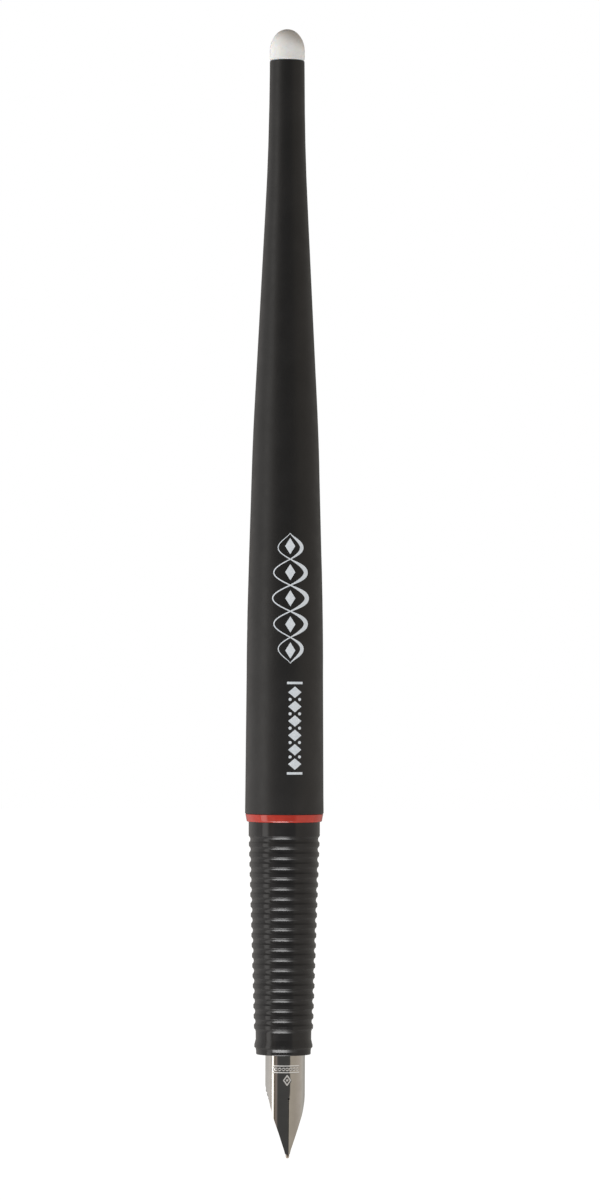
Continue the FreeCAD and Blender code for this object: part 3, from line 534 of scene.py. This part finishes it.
# The stamped ornament: two bars with a row of beads between them, and under those a lozenge with
# a dot at its middle. All of it stands a little to the left of the slit.
STAMP_SIDE = -0.25
LOZENGE = ((0.0, 13.85), (0.6, 13.05), (0.0, 12.25), (-0.6, 13.05))
BAR_HALF = 2.15
BAR_HEIGHTS = (14.35, 15.45)
BEADS = 7
BEAD_RADIUS = 0.22
DOT_IN_LOZENGE = BEAD_RADIUS * 0.8
STROKE_HALF = 0.075
BEAD_STROKE_HALF = STROKE_HALF * 0.6


def stamped(x, z):
    """How deep the generic stamped ornament is at (x, z), from 0 to 1."""
    x -= STAMP_SIDE
    away = [line_away(x, z, a, b) - STROKE_HALF for a, b in zip(LOZENGE, LOZENGE[1:] + LOZENGE[:1])]
    away += [line_away(x, z, (-BAR_HALF, up), (BAR_HALF, up)) - STROKE_HALF for up in BAR_HEIGHTS]
    middle = sum(BAR_HEIGHTS) / 2
    pitch = 2.0 * BAR_HALF / BEADS
    for bead in range(BEADS):
        centre = (bead - (BEADS - 1) / 2) * pitch
        away.append(abs(math.hypot(x - centre, z - middle) - BEAD_RADIUS) - BEAD_STROKE_HALF)
    away.append(math.hypot(x, z - LOZENGE[1][1]) - DOT_IN_LOZENGE)
    return 1.0 - smooth(min(away), -STAMP_SOFT, STAMP_SOFT)


def rows_of_nib():
    """Heights of the nib's mesh rows, closer where the ornament and the breather are."""
    fine = np.arange(ORNAMENT_FOOT, ORNAMENT_HEAD, ORNAMENT_ROW)
    hole = [BREATHER_Z + BREATHER_RADIUS * math.cos(a) for a in np.linspace(0.0, math.pi, 13)]
    plain_low = np.arange(NIB_TIP + TIP_ROUND + 0.1, ORNAMENT_FOOT - 0.1, LOW_ROW)
    plain_high = np.arange(ORNAMENT_HEAD + 0.15, NIB_TOP, HIGH_ROW)
    round_tip = NIB_TIP + TIP_ROUND * (1.0 - np.cos(np.linspace(0.0, math.pi / 2, 7)))
    rows = sorted([*round_tip, *plain_low, *hole, *fine, *plain_high, NIB_TOP])
    kept = [rows[0]]
    for z in rows[1:]:
        if z - kept[-1] > LEAST_ROW:
            kept.append(z)
    return kept


def make_nib():
    """The rolled sheet with its creased tines, slit, breather hole and stamped ornament."""
    mesh = bmesh.new()
    rows = rows_of_nib()
    shares = np.linspace(0.0, 1.0, NIB_COLUMNS + 1)
    depths = {}
    for side in (-1.0, 1.0):
        grid = []
        for z in rows:
            half, gap = max(nib_half(z, side), LEAST_HALF), nib_gap(z)
            reach = math.asin(min(half / NIB_RADIUS, 1.0))
            line = []
            for share in shares:
                x = NIB_RADIUS * math.sin(reach * share) * (half - gap) / half + gap
                depth = stamped(side * x, z)
                y = -nib_depth(x, z) + depth * STAMP_DEPTH
                vertex = mesh.verts.new((side * x * MM, y * MM, z * MM))
                depths[vertex] = depth
                line.append(vertex)
            grid.append(line)
        for low, high in zip(grid, grid[1:]):
            for column in range(NIB_COLUMNS):
                corners = (low[column], low[column + 1], high[column + 1], high[column])
                face = mesh.faces.new(corners if side > 0 else corners[::-1])
                face.material_index = int(sum(depths[corner] for corner in corners) > STAMP_SHARE)
                face.smooth = True
    bmesh.ops.remove_doubles(mesh, verts=mesh.verts, dist=NIB_WELD * MM)
    blade = new_piece("nib_blade", mesh)
    sheet = blade.modifiers.new("sheet", "SOLIDIFY")
    sheet.thickness = NIB_SHEET * MM
    sheet.offset = -1.0
    edge = blade.modifiers.new("edge", "BEVEL")
    edge.width = EDGE_ROUND * MM
    edge.segments = 2
    edge.angle_limit = EDGE_ANGLE
    wear(blade, steel(), stamped_steel())
    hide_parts("nib")
    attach(blade, "nib_unit")
    return blade


nib_blade = make_nib()

# ---------------------------------------------------------------- the writing point

PELLET_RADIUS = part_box("nib_point")[1].x / MM
PELLET_LENGTH = 1.05
PELLET_DEPTH = 3.0
PELLET_FULLNESS = 0.8
PELLET_TAPER = 0.25
PELLET_RINGS = 18
PELLET_TURNS = 20
PELLET_WELD = 0.0005


def make_pellet():
    """The two halves of hard metal, one welded under the tip of each tine."""
    mesh = bmesh.new()
    for side in (-1.0, 1.0):
        grid = []
        for ring in range(PELLET_RINGS + 1):
            angle = math.pi * ring / PELLET_RINGS
            z = PELLET_LENGTH * 0.5 * (1.0 - math.cos(angle))
            thick = math.sin(angle) ** PELLET_FULLNESS * (1.0 - PELLET_TAPER * z / PELLET_LENGTH)
            line = []
            for turn in range(PELLET_TURNS + 1):
                about = math.pi * turn / PELLET_TURNS
                x = SLIT_HALF + (PELLET_RADIUS - SLIT_HALF) * thick * math.sin(about)
                y = -PELLET_DEPTH - PELLET_RADIUS * thick * math.cos(about)
                line.append(mesh.verts.new((side * x * MM, y * MM, z * MM)))
            grid.append(line)
        for low, high in zip(grid, grid[1:]):
            for turn in range(PELLET_TURNS + 1):
                after = (turn + 1) % (PELLET_TURNS + 1)
                corners = (low[turn], low[after], high[after], high[turn])
                mesh.faces.new(corners if side < 0 else corners[::-1]).smooth = turn < PELLET_TURNS
    bmesh.ops.remove_doubles(mesh, verts=mesh.verts, dist=PELLET_WELD * MM)
    pellet = new_piece("writing_pellet", mesh)
    wear(pellet, pellet_metal())
    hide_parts("nib_point")
    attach(pellet, "nib_unit")
    return pellet


writing_pellet = make_pellet()

# ---------------------------------------------------------------- printed ornament


# A face looks outward where its normal leans from the axis by at least this share.
OUTWARD = 0.7


def outer_profile(node):
    """Heights and radii of a turned CAD node's outer face, in millimetres."""
    found = {}
    for vertex in NODES[node].data.vertices:
        radius = math.hypot(vertex.co.x, vertex.co.y)
        outward = (vertex.co.x * vertex.normal.x + vertex.co.y * vertex.normal.y) / radius
        if outward > OUTWARD:
            height = round(vertex.co.z / MM, 3)
            found[height] = max(found.get(height, 0.0), radius / MM)
    heights = sorted(found)
    return heights, [found[height] for height in heights]


BARREL_HEIGHTS, BARREL_RADII = outer_profile("barrel")
INK_RISE = 0.015
INK_SINK = 0.05


def on_barrel(across, z, rise):
    """The point on the barrel that lies across millimetres round from the nib's side."""
    radius = float(np.interp(z, BARREL_HEIGHTS, BARREL_RADII))
    angle = across / radius
    reach = radius + rise
    return (reach * math.sin(angle) * MM, -reach * math.cos(angle) * MM, z * MM)


def lay_stroke(mesh, path, halves):
    """One printed stroke: a thin strip along path, with its half width at each point."""
    points = [Vector(point) for point in path]
    befores = points[:1] + points[:-1]
    afters = points[1:] + points[-1:]
    rungs = []
    for before, point, after, half in zip(befores, points, afters, halves):
        along = (after - before).normalized()
        side = Vector((-along.y, along.x)) * half
        left, right = point + side, point - side
        rungs.append([
            mesh.verts.new(on_barrel(left.x, left.y, -INK_SINK)),
            mesh.verts.new(on_barrel(left.x, left.y, INK_RISE)),
            mesh.verts.new(on_barrel(right.x, right.y, INK_RISE)),
            mesh.verts.new(on_barrel(right.x, right.y, -INK_SINK)),
        ])
    for near, far in zip(rungs, rungs[1:]):
        for corner in range(4):
            after = (corner + 1) % 4
            mesh.faces.new((near[corner], near[after], far[after], far[corner]))
    mesh.faces.new(rungs[0][::-1])
    mesh.faces.new(rungs[-1])


def lay_patch(mesh, outline):
    """One printed filled shape: outline is a list of (across, z) round its rim."""
    top = [mesh.verts.new(on_barrel(across, z, INK_RISE)) for across, z in outline]
    foot = [mesh.verts.new(on_barrel(across, z, -INK_SINK)) for across, z in outline]
    count = len(outline)
    centre = [sum(values) / count for values in zip(*outline)]
    peak = mesh.verts.new(on_barrel(*centre, INK_RISE))
    pit = mesh.verts.new(on_barrel(*centre, -INK_SINK))
    for index in range(count):
        after = (index + 1) % count
        mesh.faces.new((top[index], top[after], peak))
        mesh.faces.new((foot[after], foot[index], pit))
        mesh.faces.new((top[after], top[index], foot[index], foot[after]))


def disc(across, z, radius, corners=28):
    """The rim of a round dot."""
    return [
        (across + radius * math.cos(turn), z + radius * math.sin(turn))
        for turn in np.linspace(0.0, 2.0 * math.pi, corners, endpoint=False)
    ]


def lozenge(across, z, half_width, half_height, steps=6):
    """The rim of a slim lozenge with straight sides."""
    corners = [(half_width, 0.0), (0.0, half_height), (-half_width, 0.0), (0.0, -half_height)]
    rim = []
    for start, end in zip(corners, corners[1:] + corners[:1]):
        for step in range(steps):
            share = step / steps
            rim.append((
                across + start[0] + (end[0] - start[0]) * share,
                z + start[1] + (end[1] - start[1]) * share,
            ))
    return rim


# The braid: its ends, how far its strokes swing and how wide they are, thin and thick. The powers
# say how sharply a stroke swells and how late it closes, and BRAID_END how thin its ends are.
BRAID_FOOT = 82.9
BRAID_HEAD = 104.7
BRAID_WAVES = 2.5
BRAID_REACH = 3.0
BRAID_THIN = 0.2
BRAID_THICK = 0.85
BRAID_SWELL = 1.3
BRAID_CLOSING = 0.35
BRAID_END = 0.25
BRAID_STEPS = 180
BRAID_PLACE = -0.7
EYE_HALF = 0.85
EYE_HALF_HEIGHT = 1.35
# The row: its ends, its lozenges, the dots between them and the bar past each end.
ROW_FOOT = 64.9
ROW_HEAD = 79.3
ROW_PLACE = 0.1
ROW_LOZENGES = 6
ROW_HALF = 1.15
ROW_FILL = 0.40
DOT_AWAY = 0.82
DOT_RADIUS = 0.26
END_BAR_GAP = 0.35
END_BAR_REACH = 1.35
END_BAR_HALF = 0.2
END_BAR_STEPS = 13


def lay_braid(mesh):
    """Two interlacing pen strokes, thick on their swells and thin where they cross."""
    for sign in (-1.0, 1.0):
        path, halves = [], []
        for step in range(BRAID_STEPS + 1):
            share = step / BRAID_STEPS
            wave = math.sin(2.0 * math.pi * BRAID_WAVES * share)
            fade = math.sin(math.pi * share) ** BRAID_CLOSING
            across = BRAID_PLACE + sign * BRAID_REACH * wave * fade
            path.append((across, BRAID_FOOT + (BRAID_HEAD - BRAID_FOOT) * share))
            swell = max(sign * wave, 0.0) ** BRAID_SWELL
            width = BRAID_THIN + (BRAID_THICK - BRAID_THIN) * swell
            halves.append(0.5 * width * (BRAID_END + (1.0 - BRAID_END) * fade))
        lay_stroke(mesh, path, halves)
    eyes = int(2 * BRAID_WAVES)
    for eye in range(eyes):
        centre = BRAID_FOOT + (BRAID_HEAD - BRAID_FOOT) * (eye + 0.5) / eyes
        lay_patch(mesh, lozenge(BRAID_PLACE, centre, EYE_HALF, EYE_HALF_HEIGHT))


def lay_row(mesh):
    """A row of slim lozenges and dots between two short bars."""
    pitch = (ROW_HEAD - ROW_FOOT) / ROW_LOZENGES
    for index in range(ROW_LOZENGES):
        centre = ROW_FOOT + pitch * (index + 0.5)
        lay_patch(mesh, lozenge(ROW_PLACE, centre, ROW_HALF, pitch * ROW_FILL))
        if index:
            for side in (-1.0, 1.0):
                lay_patch(mesh, disc(ROW_PLACE + side * DOT_AWAY, centre - pitch / 2, DOT_RADIUS))
    for z in (ROW_FOOT - END_BAR_GAP, ROW_HEAD + END_BAR_GAP):
        places = ROW_PLACE + np.linspace(-END_BAR_REACH, END_BAR_REACH, END_BAR_STEPS)
        lay_stroke(mesh, [(across, z) for across in places], [END_BAR_HALF] * END_BAR_STEPS)


def make_print():
    """The generic ornament printed on the barrel, as a thin skin of ink."""
    mesh = bmesh.new()
    lay_braid(mesh)
    lay_row(mesh)
    bmesh.ops.recalc_face_normals(mesh, faces=mesh.faces)
    ink = new_piece("barrel_ornament", mesh)
    wear(ink, silver_ink())
    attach(ink, "barrel")


make_print()

# ---------------------------------------------------------------- trim ring

RING_FOOT_ROUND = 0.24
RING_HEAD_ROUND = 0.10
RING_TURNS = 192
RING_BORE = 5.45
# How much narrower it is at its foot than at its head.
RING_TAPER = 0.18


def round_corner(centre, radius, start, end, steps=8):
    """Points of an arc in the (radius, height) plane, from one angle to another, in degrees."""
    turns = [math.radians(turn) for turn in np.linspace(start, end, steps)]
    return [(centre[0] + radius * math.cos(turn), centre[1] + radius * math.sin(turn)) for turn in turns]


def make_trim_ring():
    """The red ring, its lower edge rounded over more than its upper one."""
    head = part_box("red_ring")[1].x / MM
    foot = head - RING_TAPER
    foot_z, head_z = low_z("red_ring"), high_z("red_ring")
    foot_centre = (foot - RING_FOOT_ROUND, foot_z + RING_FOOT_ROUND)
    head_centre = (head - RING_HEAD_ROUND, head_z - RING_HEAD_ROUND)
    section = [(RING_BORE, foot_z)]
    section += round_corner(foot_centre, RING_FOOT_ROUND, -90.0, 0.0)
    section += round_corner(head_centre, RING_HEAD_ROUND, 0.0, 90.0)
    section += [(RING_BORE, head_z)]
    mesh = bmesh.new()
    grid = []
    for turn in range(RING_TURNS):
        angle = 2.0 * math.pi * turn / RING_TURNS
        grid.append([
            mesh.verts.new((radius * math.cos(angle) * MM, radius * math.sin(angle) * MM, z * MM))
            for radius, z in section
        ])
    for near, far in zip(grid, grid[1:] + grid[:1]):
        for corner in range(len(section)):
            after = (corner + 1) % len(section)
            face = mesh.faces.new((near[corner], far[corner], far[after], near[after]))
            face.smooth = corner not in (0, len(section) - 2, len(section) - 1)
    ring = new_piece("trim_ring", mesh)
    wear(ring, gloss_red())
    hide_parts("red_ring")
    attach(ring, "ring")


make_trim_ring()

# ---------------------------------------------------------------- surroundings

# What stands round the pen, by the angle from the camera's side, in degrees to its right, and how
# bright it is: a pale room behind, a tall strip light at the left and a dark room at the front.
ROUND = (
    (-180.0, (0.36, 0.345, 0.325)),
    (-155.0, (0.38, 0.365, 0.345)),
    (-142.0, (0.60, 0.57, 0.545)),
    (-126.0, (0.72, 0.69, 0.665)),
    (-110.0, (0.74, 0.72, 0.70)),
    (-98.0, (0.54, 0.525, 0.51)),
    (-90.0, (0.54, 0.525, 0.51)),
    (-83.0, (0.60, 0.575, 0.55)),
    (-79.5, (0.56, 0.52, 0.49)),
    (-78.5, (0.10, 0.075, 0.06)),
    (-76.0, (0.10, 0.075, 0.06)),
    (-75.0, (1.35, 1.30, 1.24)),
    (-70.0, (1.60, 1.56, 1.50)),
    (-57.0, (1.50, 1.46, 1.41)),
    (-54.5, (1.22, 1.18, 1.12)),
    (-51.5, (0.13, 0.105, 0.07)),
    (-44.0, (0.15, 0.13, 0.10)),
    (-38.0, (0.27, 0.215, 0.20)),
    (-32.0, (0.12, 0.115, 0.105)),
    (-27.0, (0.060, 0.059, 0.058)),
    (-10.0, (0.060, 0.060, 0.060)),
    (26.0, (0.060, 0.060, 0.059)),
    (36.2, (0.07, 0.067, 0.064)),
    (38.4, (0.38, 0.343, 0.293)),
    (67.0, (0.37, 0.332, 0.285)),
    (95.0, (0.42, 0.38, 0.34)),
    (115.0, (0.47, 0.44, 0.40)),
    (138.0, (0.45, 0.43, 0.40)),
    (155.0, (0.32, 0.31, 0.29)),
    (180.0, (0.36, 0.345, 0.325)),
)
# The same by height: the sine of the angle above the horizon, and its share of the brightness.
UP = ((-1.0, 0.7), (-0.35, 0.9), (0.0, 1.0), (0.3, 1.0), (0.62, 0.6), (0.85, 0.34), (1.0, 0.28))
# A soft fill from the sides and from below that only matt colour answers to, by height.
FILL = ((-1.0, 0.72), (-0.2, 0.72), (0.28, 0.70), (0.55, 0.30), (0.8, 0.0), (1.0, 0.0))
# And round the pen, in degrees to the right of the camera's side.
FILL_ROUND = (
    (-180.0, 0.75), (-100.0, 0.92), (-30.0, 1.08), (20.0, 0.95), (80.0, 0.55), (140.0, 0.55), (180.0, 0.75),
)


def grey(stops):
    """The same stops, with each brightness as a grey colour."""
    return [(place, (share,) * 3) for place, share in stops]


def add_world():
    """A studio as seen from the pen. The camera itself sees only white."""
    world = bpy.data.worlds.new("studio")
    bpy.context.scene.world = world
    world.use_nodes = True
    studio = Nodes(world.node_tree)
    towards = studio.node("ShaderNodeTexCoord").outputs["Generated"]
    up = studio.along(towards, (0.0, 0.0, 1.0))
    around = studio.angle_round(towards)
    walls = studio.ramp(around, ROUND, -180.0, 180.0)
    room = studio.mixed("MULTIPLY", 1.0, walls, studio.ramp(up, grey(UP), -1.0, 1.0))
    fill_up = studio.ramp(up, grey(FILL), -1.0, 1.0)
    fill_round = studio.ramp(around, grey(FILL_ROUND), -180.0, 180.0)
    fill = studio.mixed("MULTIPLY", 1.0, fill_up, fill_round)
    rays = studio.node("ShaderNodeLightPath").outputs
    filled = studio.mixed("ADD", rays["Is Diffuse Ray"], room, fill)
    lit = studio.node("ShaderNodeBackground", {"Color": filled})
    white = studio.node("ShaderNodeBackground", {"Color": (1.0, 1.0, 1.0, 1.0)})
    inputs = {0: rays["Is Camera Ray"], 1: lit.outputs[0], 2: white.outputs[0]}
    seen = studio.node("ShaderNodeMixShader", inputs)
    studio.node("ShaderNodeOutputWorld", {"Surface": seen.outputs[0]})


add_world()

# Two pale cards lie under the pen. How bright each is goes by the angle round the pen, in degrees
# to the right of the camera's side, and by the distance from the pen in millimetres.
CARD_STEPS = 49
RIB_CARD_DEPTH = 22.0
NIB_CARD_DEPTH = 30.5
# The first one lies before the pen and shows in the ribs of its grip.
RIB_CARD_ROUND = (
    (-50.0, 0.0), (-44.0, 0.75), (-20.0, 1.0), (2.0, 1.0),
    (12.0, 0.82), (24.0, 0.30), (38.0, 0.06), (64.0, 0.0),
)
RIB_CARD_AWAY = (
    (12.0, 1.5), (27.0, 6.0), (48.0, 8.0), (64.0, 6.2),
    (90.0, 9.4), (120.0, 12.5), (142.0, 3.0), (160.0, 0.0),
)
# The second goes all round, just below where the nib comes when it is drawn out. It shows in the
# nib when that is seen from above.
NIB_CARD_ROUND = ((-180.0, 0.50), (-60.0, 0.75), (60.0, 0.45), (180.0, 0.50))
NIB_CARD_AWAY = ((3.0, 1.0), (90.0, 1.0), (130.0, 0.5), (155.0, 0.0))


def add_card(name, depth, by_angle, by_distance, linked, state):
    """A card that only shows in polished faces: all but the linked ones', or only theirs."""
    mesh = bmesh.new()
    ends = (by_distance[0][0] * MM, by_distance[-1][0] * MM)
    rims = []
    for turn in np.linspace(math.radians(by_angle[0][0]), math.radians(by_angle[-1][0]), CARD_STEPS):
        towards = BACK * math.cos(turn) + RIGHT * math.sin(turn)
        rims.append([mesh.verts.new(towards * away) for away in ends])
    for (near, far), (next_near, next_far) in zip(rims, rims[1:]):
        mesh.faces.new((near, far, next_far, next_near))
    card = new_piece(name, mesh)
    card.location.z = -depth * MM
    look = Look(name + "_glow")
    around = look.angle_round(look.place)
    length = look.node("ShaderNodeVectorMath", {0: look.place}, operation="LENGTH")
    away = look.times(length.outputs["Value"], 1.0 / MM)
    angle_share = look.ramp(around, grey(by_angle), by_angle[0][0], by_angle[-1][0])
    distance_share = look.ramp(away, grey(by_distance), 0.0, by_distance[-1][0])
    glow = look.mixed("MULTIPLY", 1.0, angle_share, distance_share)
    shine = look.node("ShaderNodeEmission", {"Color": glow})
    # Faces that its light leaves out see through it.
    through = look.node("ShaderNodeBsdfTransparent")
    both = look.node("ShaderNodeAddShader", {0: shine.outputs[0], 1: through.outputs[0]})
    look.tree.links.new(both.outputs[0], look.output.inputs["Surface"])
    wear(card, look.material)
    card.visible_camera = False
    card.visible_diffuse = False
    card.visible_transmission = False
    card.visible_shadow = False
    receivers = bpy.data.collections.new(name + "_receivers")
    for piece in linked:
        receivers.objects.link(piece)
    card.light_linking.receiver_collection = receivers
    for member in receivers.collection_objects:
        member.light_linking.link_state = state


missed = (nib_blade, writing_pellet, NODES["barrel"])
add_card("rib_card", RIB_CARD_DEPTH, RIB_CARD_ROUND, RIB_CARD_AWAY, missed, "EXCLUDE")
shown = (nib_blade, writing_pellet)
add_card("nib_card", NIB_CARD_DEPTH, NIB_CARD_ROUND, NIB_CARD_AWAY, shown, "INCLUDE")


FLOOR_RADIUS = 3000.0
FLOOR_GAP = 1.0


def add_floor():
    """A plain pale floor under the held pen, below where its nib unit comes when drawn out."""
    joints = {joint["name"]: joint for joint in frame["record"]["behaviour"]["joints"]}
    drawn_out = joints["nib_unit_pull"]["range_m"][1]
    mesh = bmesh.new()
    bmesh.ops.create_circle(mesh, cap_ends=True, segments=96, radius=FLOOR_RADIUS * MM)
    floor = new_piece("floor", mesh)
    floor.location.z = (low_z("nib_point") - FLOOR_GAP) * MM - drawn_out
    look = Look("floor_white", Roughness=0.9, Specular_IOR_Level=0.1)
    look.shader.inputs["Base Color"].default_value = (0.3, 0.3, 0.3, 1.0)
    look.shader.inputs["Emission Color"].default_value = (1.0, 1.0, 1.0, 1.0)
    look.shader.inputs["Emission Strength"].default_value = 0.93
    wear(floor, look.material)
    floor.visible_diffuse = False
    floor.visible_glossy = False
    floor.visible_transmission = False
    floor.visible_shadow = False


add_floor()
bpy.context.scene.view_settings.view_transform = "Standard"
